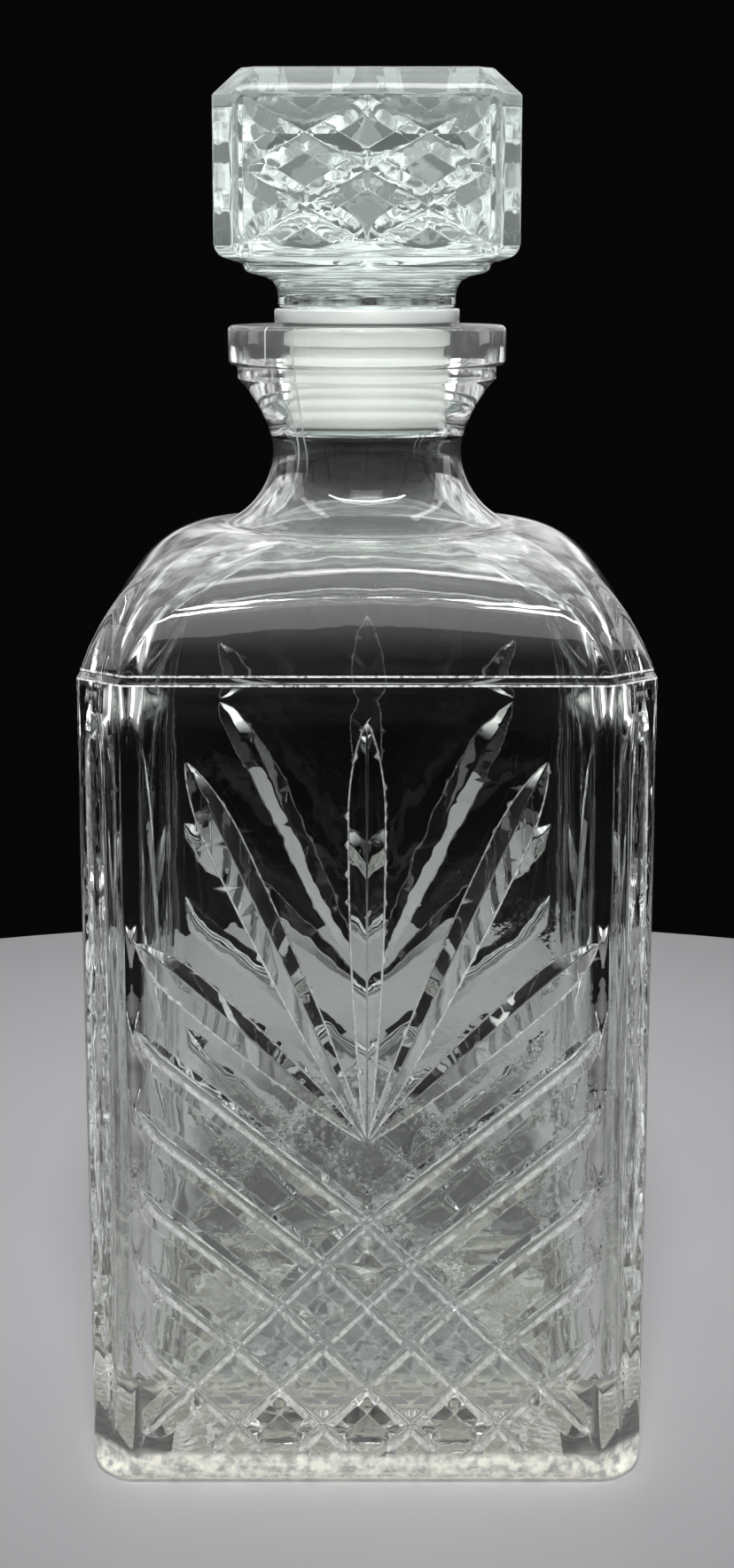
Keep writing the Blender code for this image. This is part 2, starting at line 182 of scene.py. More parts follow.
class Groove:
    """A cut along a path of (across, up) points.

    floor is the half width of its flat bottom, 0 for a V. taper is the length over which
    each end runs out. Cuts of one layer merge where they meet, and layers add up.
    """

    def __init__(self, path, half_width, depth, taper=(0.0, 0.0), softness=0.2, layer=0, floor=0.0):
        self.path = np.array(path, float)
        steps = np.linalg.norm(np.diff(self.path, axis=0), axis=1)
        self.starts = np.concatenate([[0.0], np.cumsum(steps)])
        self.length = self.starts[-1]
        self.half_width, self.slope = half_width, depth / (half_width - floor)
        self.floor = floor
        self.taper, self.softness, self.layer = taper, softness, layer

    def share_at(self, distance):
        """Share of the full width at each distance along the path."""
        share = np.ones_like(distance)
        for run, gap in zip(self.taper, (distance, self.length - distance)):
            if run > 0:
                x = 1 - np.clip(gap / run, 0, 1)
                share = share * (1 - x * x) ** TAPER_POWER
        return share

    def nearest(self, points):
        """Distance from the path and distance along it, for each point."""
        best = np.full(len(points), 1e9)
        along = np.zeros(len(points))
        for i in range(len(self.path) - 1):
            a, b = self.path[i], self.path[i + 1]
            run = np.linalg.norm(b - a)
            t = np.clip((points - a) @ (b - a) / run ** 2, 0, 1)
            gap = np.linalg.norm(points - (a + t[:, None] * (b - a)), axis=1)
            closer = gap < best
            best = np.where(closer, gap, best)
            along = np.where(closer, self.starts[i] + t * run, along)
        return best, along

    def depth_at(self, points):
        """Depth of this cut alone at each point."""
        gap, along = self.nearest(points)
        share = self.share_at(along)
        width, floor = self.half_width * share, self.floor * share
        soft = np.minimum(self.softness, SOFT_SHARE * width + 1e-6)
        gap = np.where(gap > soft, gap, (gap * gap + soft * soft) / (2 * soft))
        depth = self.slope * soft_positive(width - gap, soft)
        if self.floor > 0:
            full = self.slope * (width - floor)
            depth = full - soft_positive(full - depth, 0.5 * soft)
        return depth * (width > 1e-4)

    def wall_at(self, points):
        """1 half way down a channel's wall or, for a cut with no floor, along its edges."""
        if self.floor > 0:
            share = self.depth_at(points) / (self.slope * (self.half_width - self.floor))
            return np.clip(4 * share * (1 - share), 0, 1)
        gap, along = self.nearest(points)
        width = self.half_width * self.share_at(along)
        line = np.clip(1 - np.abs(width - gap) / self.softness, 0, 1)
        return line * min(1.0, EDGE_LINE * self.slope) * (width > self.softness)

    def rows(self, step):
        """Chains of points along the bottom and the edges, then loose points beside them."""
        count = max(2, int(round(self.length / step)))
        near_end = np.array(NEAR_END)
        distance = np.concatenate([np.linspace(0, self.length, count + 1), self.starts,
                                   self.taper[0] * near_end, self.length - self.taper[1] * near_end])
        distance = np.unique(np.round(distance, 3))
        centre = np.stack([np.interp(distance, self.starts, self.path[:, k]) for k in (0, 1)], axis=1)
        ahead = np.gradient(centre, axis=0)
        ahead /= np.linalg.norm(ahead, axis=1)[:, None] + 1e-12
        across = np.stack([-ahead[:, 1], ahead[:, 0]], axis=1)
        share = self.share_at(distance)[:, None]
        width, floor = self.half_width * share, self.floor * share
        chains = [centre] + [centre + side * width * across for side in (-1, 1)]
        if self.floor > 0:
            chains += [centre + side * floor * across for side in (-1, 1)]
        loose = []
        for side in (-1, 1):
            for offset in (floor + self.softness, width - self.softness, width + self.softness):
                keep = (offset > floor) * np.ones_like(width, bool)
                loose.append((centre + side * offset * across)[keep[:, 0]])
        return chains, loose


def depth_of(grooves, points):
    """Depth of all cuts at each point: cuts of one layer merge, and layers add up."""
    points = np.asarray(points, float)
    total = np.zeros(len(points))
    for layer in sorted({g.layer for g in grooves}):
        power = sum(g.depth_at(points) ** MERGE_POWER for g in grooves if g.layer == layer)
        total += power ** (1 / MERGE_POWER)
    return total


def wall_of(grooves, points):
    """How strongly the ground edges and walls of the cuts catch the light at each point."""
    points = np.asarray(points, float)
    return np.max([groove.wall_at(points) for groove in grooves], axis=0)


# ---------------------------------------------------------------- sections and lofts

class Section:
    """A square of half width 1 with cut or rounded corners, as points from one flat's middle.

    half, chamfer and radius give its shape at full size. foot is the section it has at the table.
    """

    def __init__(self, half, chamfer, radius, flat_steps, arc_steps, facet_steps, foot=None):
        corner = []
        if chamfer > 0:
            tangent = radius * math.tan(math.pi / 8)
            low = (half, half - chamfer)
            high = (half - chamfer, half)
            along = np.array([-1.0, 1.0]) / math.sqrt(2)
            self.flat_end = low[1] - tangent
            corner += arc((half - radius, self.flat_end), radius, 0, 45, arc_steps)
            start = np.array(low) + along * tangent
            end = np.array(high) - along * tangent
            corner += [tuple(start + (end - start) * i / facet_steps) for i in range(1, facet_steps)]
            corner += arc((self.flat_end, half - radius), radius, 45, 90, arc_steps)
        else:
            self.flat_end = half - radius
            corner += arc((self.flat_end, self.flat_end), radius, 0, 90, 2 * arc_steps + facet_steps)
        middle = flat_steps // 2
        first = [(half, self.flat_end * i / middle) for i in range(middle)]
        last = [(self.flat_end * (middle - i) / middle, half) for i in range(1, middle)]
        quarter = np.array(first + corner + last) / half
        turns = [np.array([[math.cos(a), -math.sin(a)], [math.sin(a), math.cos(a)]])
                 for a in (0, math.pi / 2, math.pi, 3 * math.pi / 2)]
        self.points = np.concatenate([quarter @ turn.T for turn in turns])
        self.count = len(self.points)
        self.quarter = self.count // 4
        self.middle, self.arc_steps, self.facet_steps = middle, arc_steps, facet_steps
        angles = np.arange(self.count) * 2 * math.pi / self.count
        self.circle = np.stack([np.cos(angles), np.sin(angles)], axis=1)
        self.foot = foot

    def ring(self, half, z, squareness, foot_share=0.0):
        """The section at height z, from a circle at squareness 0 to the square at 1."""
        corners = self.points
        if foot_share > 0:
            corners = (1 - foot_share) * self.points + foot_share * self.foot.points
        flat = half * ((1 - squareness) * self.circle + squareness * corners)
        return np.column_stack([flat, np.full(self.count, z)])


class Shell:
    """Points and faces of one closed mesh, put together from rings and from cut flats.

    walls and normals hold a cut flat's wall_of and its exact normal by point index.
    """

    def __init__(self):
        self.points, self.faces, self.walls, self.normals = [], [], {}, {}

    def add_rings(self, rings):
        """The index of each ring's first point."""
        starts = []
        for ring in rings:
            starts.append(len(self.points))
            self.points.extend(ring)
        self.ring_size = len(rings[0])
        return starts

    def bridge(self, low, high, columns=None):
        """Faces between two rings, in all columns or only in those given."""
        count = self.ring_size
        for i in (range(count) if columns is None else columns):
            j = (i + 1) % count
            self.faces.append((low + i % count, low + j, high + j, high + i % count))

    def cap(self, start, up):
        """One face across a ring, looking up or down."""
        loop = list(range(start, start + self.ring_size))
        self.faces.append(tuple(loop if up else reversed(loop)))

    def loft(self, rings, first, last, edge_columns):
        """Join and cap the rings. Between the rings first and last only the edge columns get
        faces, and the windows left between them are for cut_sides. Returns their rows."""
        starts = self.add_rings(rings)
        for k, (low, high) in enumerate(zip(starts, starts[1:])):
            self.bridge(low, high, edge_columns if first <= k < last else None)
        self.cap(starts[0], False)
        self.cap(starts[-1], True)
        return starts[first:last + 1]

    def border(self, rows, first, last):
        """Point indices round the window between two columns, anticlockwise seen from outside."""
        columns = range(first, last + 1)
        ids = [rows[0] + c % self.ring_size for c in columns]
        ids += [row + last % self.ring_size for row in rows[1:]]
        ids += [rows[-1] + c % self.ring_size for c in reversed(columns)][1:]
        ids += [row + first % self.ring_size for row in reversed(rows[1:-1])]
        return ids

    def cut_sides(self, rows, first, last, turn, grooves, steps):
        """Fill a window with a cut flat on each of the four sides. The first side faces turn."""
        out, across = facing(turn)
        outline = [(self.points[i] @ across, self.points[i][2]) for i in self.border(rows, first, last)]
        net = net_of(outline, grooves, *steps)
        for side in range(4):
            shift = side * self.ring_size // 4
            border = self.border(rows, first + shift, last + shift)
            self.cut_flat(border, turn + side * math.pi / 2, grooves, net)

    def cut_flat(self, border, turn, grooves, net):
        """Fill a flat's border with the flat and its cuts. border holds point indices."""
        out, across = facing(turn)
        base = self.points[border[0]] @ out
        points, origins, triangles = net
        depth = depth_of(grooves, points)
        steps = SLOPE_STEP * np.eye(2)
        slopes = [(depth_of(grooves, points + step) - depth_of(grooves, points - step)) / (2 * SLOPE_STEP)
                  for step in steps]
        walls = wall_of(grooves, points)
        up = np.array([0.0, 0.0, 1.0])
        ids = []
        for (x, z), origin, d, wall, slope_x, slope_z in zip(points, origins, depth, walls, *slopes):
            if origin >= 0:
                ids.append(border[origin])
                continue
            ids.append(len(self.points))
            self.walls[len(self.points)] = wall
            self.normals[len(self.points)] = out + across * slope_x + up * slope_z
            self.points.append(out * (base - d) + across * x + up * z)
        self.faces.extend(tuple(ids[i] for i in t) for t in triangles)

    def object(self, name, mat, sharp=None, upper=None, upper_z=0.0):
        """The mesh as an object. Faces wholly above upper_z take the material upper.

        sharp is the angle in degrees from which edges stay sharp. Without it the mesh takes the
        exact normals of its cut flats.
        """
        mesh = bpy.data.meshes.new(name)
        mesh.from_pydata([tuple(p * MM) for p in np.array(self.points)], [], self.faces)
        walls = mesh.attributes.new("cut_wall", "FLOAT", "POINT")
        walls.data.foreach_set("value", [self.walls.get(i, 0.0) for i in range(len(self.points))])
        mesh.validate()
        mesh.materials.append(mat)
        mesh.shade_smooth()
        if upper is not None:
            mesh.materials.append(upper)
            for face in mesh.polygons:
                if min(mesh.vertices[i].co.z for i in face.vertices) > upper_z * MM:
                    face.material_index = 1
        if sharp is not None:
            mesh.set_sharp_from_angle(angle=math.radians(sharp))
        elif self.normals:
            flat = np.zeros(3)
            mesh.normals_split_custom_set_from_vertices(
                [Vector(self.normals.get(i, flat)).normalized() for i in range(len(self.points))])
        obj = bpy.data.objects.new(name, mesh)
        bpy.context.scene.collection.objects.link(obj)
        return obj


def facing(turn):
    """The unit vectors out of and across a side that faces turn, an angle in radians."""
    return (np.array([math.cos(turn), math.sin(turn), 0.0]),
            np.array([-math.sin(turn), math.cos(turn), 0.0]))


def net_of(border, grooves, step, field_step, nearest_gap):
    """A triangle net inside border that follows the cuts: points, border index or -1, triangles."""
    border = [tuple(p) for p in border]
    coords = list(border)
    edges = [(i, (i + 1) % len(border)) for i in range(len(border))]
    low, high = np.min(border, axis=0), np.max(border, axis=0)
    taken = {}

    def cell(p):
        return int(p[0] // nearest_gap), int(p[1] // nearest_gap)

    def free(p):
        x, y = cell(p)
        near = (taken.get((x + i, y + j)) for i in (-1, 0, 1) for j in (-1, 0, 1))
        return all(q is None or math.dist(p, q) > nearest_gap for q in near)

    def inside(p, margin):
        return low[0] + margin < p[0] < high[0] - margin and low[1] + margin < p[1] < high[1] - margin

    loose_points = []
    for groove in grooves:
        chains, loose = groove.rows(step)
        loose_points += [p for row in loose for p in row]
        for chain in chains:
            last = None
            for p in chain:
                p = tuple(p)
                if not inside(p, CHAIN_MARGIN):
                    last = None
                    continue
                if last is not None and math.dist(coords[last], p) < CHAIN_GAP:
                    continue
                coords.append(p)
                taken[cell(p)] = p
                if last is not None:
                    edges.append((last, len(coords) - 1))
                last = len(coords) - 1
    grid = [(x, y) for x in np.arange(low[0] + field_step / 2, high[0], field_step)
            for y in np.arange(low[1] + field_step / 2, high[1], field_step)]
    for p in loose_points + grid:
        p = tuple(p)
        if inside(p, FIELD_MARGIN) and free(p):
            coords.append(p)
            taken[cell(p)] = p
    face = [list(range(len(border)))]
    net = delaunay_2d_cdt([Vector(c) for c in coords], edges, face, 1, MERGE_GAP)
    points, triangles, origins = net[0], net[2], net[3]
    index = [next((i for i in origin if i < len(border)), -1) for origin in origins]
    return np.array([tuple(p) for p in points]), index, triangles


# ---------------------------------------------------------------- the bottle

def bottle_grooves():
    """The fan, the crossed lattice under it and the side flutes of one face."""
    cuts = []
    for x, z in FAN_TIPS:
        for side in ((1,) if x == 0 else (-1, 1)):
            length = math.dist(FAN_FOCUS, (x, z))
            taper = [length * share for share in FAN_TAPER]
            cuts.append(Groove([FAN_FOCUS, (side * x, z)], taper=taper, **FAN_CUT))
    for side in (-1, 1):
        for k in range(LATTICE_LINES):
            x, z = k * LATTICE_STEP_X, LATTICE_APEX_Z - k * LATTICE_STEP_Z
            run = min((z - LATTICE_BOTTOM_Z) / LATTICE_SLOPE, CUT_LIMIT + x)
            foot = (side * (x - run), z - run * LATTICE_SLOPE)
            turn_z = z + (FLUTE_TURN - x) * FLUTE_SLOPE
            flute = [(side * x, z), (side * FLUTE_TURN, turn_z),
                     (side * (FLUTE_TURN + FLUTE_BEND[0]), turn_z + FLUTE_BEND[1]),
                     (side * CUT_LIMIT, turn_z + FLUTE_RISE)]
            cuts.append(Groove([foot] + flute, taper=(2.0, 5.0), **CHANNEL))
            cuts.append(Groove([foot, flute[0]], taper=(3.0, 3.0), **LATTICE_BEVEL))
            cuts.append(Groove(flute, taper=(3.0, 7.0), **FLUTE_BEVEL))
    return cuts


def corner_grooves():
    """The long pointed cut down one corner."""
    return [Groove([(0.0, CORNER_CUT_LOW), (0.0, CORNER_CUT_HIGH)], **CORNER_CUT)]


def outside_stations():
    """The outside as (half width, z, squareness, share of the foot's section): the body up to the
    top of its flats, then all that is above."""
    edge = arc((HALF_WIDTH - BASE_EDGE, BASE_EDGE), BASE_EDGE, -90, 0, 8)
    foot = [(PUNT_HALF * 0.5, PUNT_DEPTH), (PUNT_HALF - 2.0, PUNT_DEPTH), (PUNT_HALF, PUNT_DEPTH - 0.1),
            (PUNT_HALF + 3.0, 0.1), (PUNT_HALF + 4.5, 0.0)]
    panel = [(HALF_WIDTH, z) for z in np.linspace(BASE_EDGE, PANEL_TOP, 40)[1:]]
    ledge = [(HALF_WIDTH - 0.18, PANEL_TOP + 0.35), (HALF_WIDTH - 0.42, SHOULDER_FOOT[1] - 0.7),
             SHOULDER_FOOT]
    shoulder = bezier(SHOULDER_FOOT, (43.5, 150.0), (38.0, 161.0), SHOULDER_TOP, 26)
    waist = (NECK_RADIUS, NECK_WAIST_Z)
    flare = bezier(SHOULDER_TOP, (20.5, 162.2), (16.6, 167.5), waist, 20)
    upper = bezier(waist, (16.6, 177.0), (19.0, 181.5), (21.6, 184.6), 14)
    collar = arc((COLLAR_RADIUS - COLLAR_EDGE, COLLAR_BOTTOM + COLLAR_EDGE), COLLAR_EDGE, -60, 0, 4)
    collar += arc((COLLAR_RADIUS + 0.25, LIP_BOTTOM - 0.25), 0.25, 180, 90, 3)
    lip = arc((LIP_RADIUS - LIP_EDGE, LIP_BOTTOM + LIP_EDGE), LIP_EDGE, -90, 0, 6)
    lip += arc((LIP_RADIUS - LIP_EDGE, LIP_TOP - LIP_EDGE), LIP_EDGE, 0, 90, 6)
    body = [(w, z, 1.0, 1 - smooth_step(z / BASE_EDGE)) for w, z in foot + edge + panel]
    dome = [(w, z, smooth_step((w - SHOULDER_TOP[0]) / (SHOULDER_FOOT[0] - SHOULDER_TOP[0])))
            for w, z in ledge + shoulder]
    neck = [(w, z, 0.0) for w, z in flare + upper + collar + lip]
    return body, dome + neck


def bore_radius(z):
    """Radius of the conical bore at height z."""
    share = (z - SEAT_FOOT[1]) / (LIP_TOP - MOUTH_EDGE - SEAT_FOOT[1])
    return SEAT_FOOT[0] + (MOUTH_RADIUS - SEAT_FOOT[0]) * share


def inside_stations():
    """The inside as (half width, z, squareness), from the mouth down to the floor."""
    foot, top = INSIDE_FOOT, INSIDE_SHOULDER_TOP
    mouth = arc((MOUTH_RADIUS + MOUTH_EDGE, LIP_TOP - MOUTH_EDGE), MOUTH_EDGE, 90, 180, 4)
    mouth += [(bore_radius(z), z) for z in np.linspace(LIP_TOP - 1.0, SEAT_FOOT[1], 8)]
    neck = bezier(SEAT_FOOT, (13.8, 174.8), (13.2, 173.5), NECK_INSIDE, 8)
    flare = bezier(NECK_INSIDE, (13.2, 166.5), (17.0, 160.0), top, 18)
    shoulder = bezier(top, (35.0, 156.8), (38.8, 147.0), foot, 18)
    wall = [(INSIDE_HALF, z) for z in np.linspace(131.0, FLOOR + FLOOR_FILLET + 3, 16)]
    fillet = arc((INSIDE_HALF - FLOOR_FILLET, FLOOR + FLOOR_FILLET), FLOOR_FILLET, 0, -90, 10)
    floor = [(INSIDE_HALF * 0.55, FLOOR), (INSIDE_HALF * 0.25, FLOOR)]
    stations = [(w, z, 0.0) for w, z in mouth + neck + flare]
    stations += [(w, z, smooth_step((w - top[0]) / (foot[0] - top[0]))) for w, z in shoulder]
    return stations + [(w, z, 1.0) for w, z in wall + fillet + floor]


def make_bottle(mat):
    """The hollow bottle as one mesh: outside, lip and inside, with a window cut into each flat."""
    foot = Section(HALF_WIDTH, 0.0, FOOT_CORNER, *BOTTLE_STEPS)
    outer = Section(HALF_WIDTH, CHAMFER, EDGE_RADIUS, *BOTTLE_STEPS, foot=foot)
    inner = Section(INSIDE_HALF, 0.0, INSIDE_CORNER, *BOTTLE_STEPS)
    body, above = outside_stations()
    rings = [outer.ring(*s) for s in body + above] + [inner.ring(*s) for s in inside_stations()]
    first_panel = next(i for i, s in enumerate(body) if s[0] >= HALF_WIDTH - 1e-6)
    half, quarter = outer.middle, outer.quarter
    facet_low = half + outer.arc_steps
    facet_high = facet_low + outer.facet_steps
    edge_columns = [i for i in range(outer.count)
                    if half <= i % quarter < facet_low or facet_high <= i % quarter < quarter - half]
    shell = Shell()
    rows = shell.loft(rings, first_panel, len(body) - 1, edge_columns)
    shell.cut_sides(rows, -half, half, 0.0, bottle_grooves(), FACE_NET)
    shell.cut_sides(rows, facet_low, facet_high, math.pi / 4, corner_grooves(), CORNER_NET)
    return shell.object("cut_bottle", mat)


# ---------------------------------------------------------------- the stopper

def stopper_grooves():
    """Crossed cuts through a diamond grid, each ending at the plain border."""
    cuts = []
    for m in (-1, 0, 1):
        for slope in (-1, 1):
            ends = []
            for x in (-STAR_FIELD_X, STAR_FIELD_X):
                rise = slope * (x / STAR_STEP_X - 2 * m) * STAR_STEP_Z
                inside = min(max(rise, -STAR_FIELD_Z), STAR_FIELD_Z)
                ends.append((x + (inside - rise) * slope * STAR_STEP_X / STAR_STEP_Z,
                             STAR_CENTRE_Z + inside))
            cuts.append(Groove(ends, **STAR_CUT))
    frame_path = []
    for index, (x, z) in enumerate(((1, 1), (-1, 1), (-1, -1), (1, -1))):
        centre = (x * (FRAME_X - FRAME_ROUND), STAR_CENTRE_Z + z * (FRAME_Z - FRAME_ROUND))
        frame_path += arc(centre, FRAME_ROUND, 90 * index, 90 * index + 90, 4)
    cuts.append(Groove(frame_path + frame_path[:1], **FRAME_LINE))
    return cuts


def stopper_stations():
    """The stopper as (half width, z, squareness): up to its flanks, the flanks, and its crown."""
    bottom, under = STOPPER_LOW.z, FLANGE_TOP + PIECE_GAP
    shank = [(SHANK_RADIUS * 0.5, bottom)]
    shank += arc((SHANK_RADIUS - SHANK_EDGE, bottom + SHANK_EDGE), SHANK_EDGE, -90, 0, 5)
    shank += [(SHANK_RADIUS, z) for z in (183.0, 188.0, 193.0)]
    neck = [(SHANK_RADIUS, under - 0.2), (SHANK_RADIUS + 0.2, under)]
    neck += arc((STOPPER_NECK_RADIUS - STOPPER_NECK_EDGE, under + STOPPER_NECK_EDGE),
                STOPPER_NECK_EDGE, -90, 0, 4)
    waist = (STOPPER_NECK_RADIUS - 0.05, under + 1.2)
    neck += [waist] + bezier(waist, (STOPPER_NECK_RADIUS, 201.6), (16.2, 203.0), CUP, 10)
    neck += bezier(CUP, (20.9, 203.7), (21.3, 204.2), (21.4, 205.0), 5)
    head_foot = (HEAD_FOOT_RADIUS, HEAD_BOTTOM)
    head = [(HEAD_FOOT_RADIUS - 0.6, HEAD_BOTTOM - 0.2), head_foot]
    head += bezier(head_foot, (24.2, 206.2), (25.1, 206.8), (HEAD_HALF, FLANK_BOTTOM), 6)
    flank_top, crown_half = HEAD_TOP - HEAD_CROWN_BEVEL, HEAD_HALF - HEAD_CROWN_BEVEL
    flank = [(HEAD_HALF, z) for z in np.linspace(FLANK_BOTTOM, flank_top, 12)[1:]]
    crown = [(HEAD_HALF - 0.25, flank_top + 0.35), (crown_half + 0.35, HEAD_TOP - 0.25),
             (crown_half - 0.1, HEAD_TOP), (HEAD_HALF * 0.5, HEAD_TOP)]
    low = [(w, z, 0.0) for w, z in shank + neck] + [(w, z, 1.0) for w, z in head]
    return low, [(w, z, 1.0) for w, z in flank], [(w, z, 1.0) for w, z in crown]


def make_stopper(mat):
    """The solid stopper, with a window cut into each of its four flanks."""
    section = Section(HEAD_HALF, HEAD_CHAMFER, HEAD_EDGE_RADIUS, *STOPPER_STEPS)
    low, flank, crown = stopper_stations()
    rings = [section.ring(*s) for s in low + flank + crown]
    half, quarter = section.middle, section.quarter
    edge_columns = [i for i in range(section.count) if half <= i % quarter < quarter - half]
    shell = Shell()
    rows = shell.loft(rings, len(low) - 1, len(low) + len(flank) - 1, edge_columns)
    shell.cut_sides(rows, -half, half, 0.0, stopper_grooves(), STOPPER_NET)
    return shell.object("cut_stopper", mat, sharp=24)


# ---------------------------------------------------------------- the seal

def make_seal(mat, flange_mat):
    """The ribbed sleeve with soft rib crests and a rounded flange."""
    bore, low, top = SHANK_RADIUS + PIECE_GAP, SLEEVE_BOTTOM, FLANGE_BOTTOM
    ribs_low = low + SLEEVE_EDGE
    pitch = (RIBS_TOP - ribs_low) / SEAL_RIBS
    end = bore_radius(low) - RIB_CLEARANCE - SLEEVE_EDGE
    outside = [(bore, low), (end, low)] + arc((end, ribs_low), SLEEVE_EDGE, -90, 0, 5)
    for i in range(SEAL_RIBS):
        heights = [ribs_low + (i + share) * pitch for share in np.linspace(*RIB_SPAN, 8)]
        outside += [(bore_radius(z) - RIB_CLEARANCE
                     + RIB_HEIGHT * math.sin(math.pi * (z - heights[0]) / pitch), z) for z in heights]
    for rise, gap in WAIST_ABOVE_RIBS:
        outside.append((bore_radius(RIBS_TOP + rise) - gap, RIBS_TOP + rise))
    neck = bore_radius(top) - RIB_CLEARANCE
    outside += [(neck, top - 0.5), (neck, top)]
    rim = FLANGE_RADIUS - FLANGE_EDGE
    outside += arc((rim, top + FLANGE_EDGE), FLANGE_EDGE, -90, 0, 4)
    outside += arc((rim, FLANGE_TOP - FLANGE_EDGE), FLANGE_EDGE, 0, 90, 4)
    outside += [(bore + 0.2, FLANGE_TOP), (bore, FLANGE_TOP - 0.2)]
    section = Section(1.0, 0.0, 0.5, *SEAL_STEPS)
    shell = Shell()
    starts = shell.add_rings([section.ring(w, z, 0.0) for w, z in outside])
    for a, b in zip(starts, starts[1:] + starts[:1]):
        shell.bridge(a, b)
    return shell.object("ribbed_seal", mat, sharp=50, upper=flange_mat, upper_z=FLANGE_BOTTOM - 0.05)


# ---------------------------------------------------------------- materials

FOOT_INSIDE = 24.0             # half width of the clear middle of the underside
BOTTLE_TINT, FOOT_TINT = (0.955, 0.985, 0.962), (0.95, 0.95, 0.83)
# The stopper's second colour is painted shade: a dark base colour for its neck, standing in for the dark
# room seen through it.
STOPPER_TINT, STOPPER_NECK_SHADE = (0.88, 0.975, 0.945), (0.42, 0.47, 0.46)
BOTTLE_SHADOW, STOPPER_SHADOW = 0.69, 0.95
CLEAR_SHADOW = 0.95            # the same from the seal's height up


class Graph:
    """A new material's shader nodes, and short ways to add to them."""

    def __init__(self, name):
        self.material = bpy.data.materials.new(name)
        self.material.use_nodes = True
        self.nodes, self.links = self.material.node_tree.nodes, self.material.node_tree.links
        self.coords = self.nodes.new("ShaderNodeTexCoord").outputs["Object"]

    def axes(self):
        """The outputs that give a place's x, y and z, in metres."""
        split = self.nodes.new("ShaderNodeSeparateXYZ")
        self.links.new(self.coords, split.inputs["Vector"])
        return split.outputs

    def calc(self, operation, first, second=0.0):
        """A sum done in the shader. Each value is a number or a node's output."""
        node = self.nodes.new("ShaderNodeMath")
        node.operation = operation
        for socket, value in zip(node.inputs, (first, second)):
            if isinstance(value, (int, float)):
                socket.default_value = value
            else:
                self.links.new(value, socket)
        return node.outputs[0]

    def product(self, first, *others):
        """All the values multiplied together."""
        for other in others:
            first = self.calc("MULTIPLY", first, other)
        return first

    def ramp(self, value, low, high, out_low=0.0, out_high=1.0):
        """out_low up to value = low, out_high from value = high on, and straight between."""
        node = self.nodes.new("ShaderNodeMapRange")
        ends = {"From Min": low, "From Max": high, "To Min": out_low, "To Max": out_high}
        for name, number in ends.items():
            node.inputs[name].default_value = number
        self.links.new(value, node.inputs["Value"])
        return node.outputs["Result"]

    def length_ramp(self, value, low, high, out_low=0.0, out_high=1.0):
        """The same for a length, with low and high in millimetres."""
        return self.ramp(value, low * MM, high * MM, out_low, out_high)

    def line_at(self, value, centre, half):
        """1 on a line of the given half width, both in millimetres, and 0 beside it."""
        gap = self.calc("ABSOLUTE", self.calc("SUBTRACT", value, centre * MM))
        return self.length_ramp(gap, half * 0.5, half, 1.0, 0.0)

    def noise(self, per_metre, detail=2.0):
        """Noise with about this many grains to the metre."""
        node = self.nodes.new("ShaderNodeTexNoise")
        node.inputs["Scale"].default_value = per_metre
        node.inputs["Detail"].default_value = detail
        self.links.new(self.coords, node.inputs["Vector"])
        return node.outputs["Fac"]

    def grains(self, size, detail=2.0):
        """Noise whose grains are about size millimetres."""
        return self.noise(1.0 / (size * MM), detail)

    def tone(self, value, dark, light):
        """A colour between two colours."""
        node = self.nodes.new("ShaderNodeValToRGB")
        for element, colour in zip(node.color_ramp.elements, (dark, light)):
            element.color = (*colour, 1)
        self.links.new(value, node.inputs["Fac"])
        return node.outputs["Color"]

    def bump(self, height, distance=1.0):
        """A normal bent by a height of the given number of metres at 1."""
        node = self.nodes.new("ShaderNodeBump")
        node.inputs["Distance"].default_value = distance
        self.links.new(height, node.inputs["Height"])
        return node.outputs["Normal"]

    def feed(self, name, value):
        """Link an output to the shader's socket of that name."""
        self.links.new(value, self.nodes["Principled BSDF"].inputs[name])


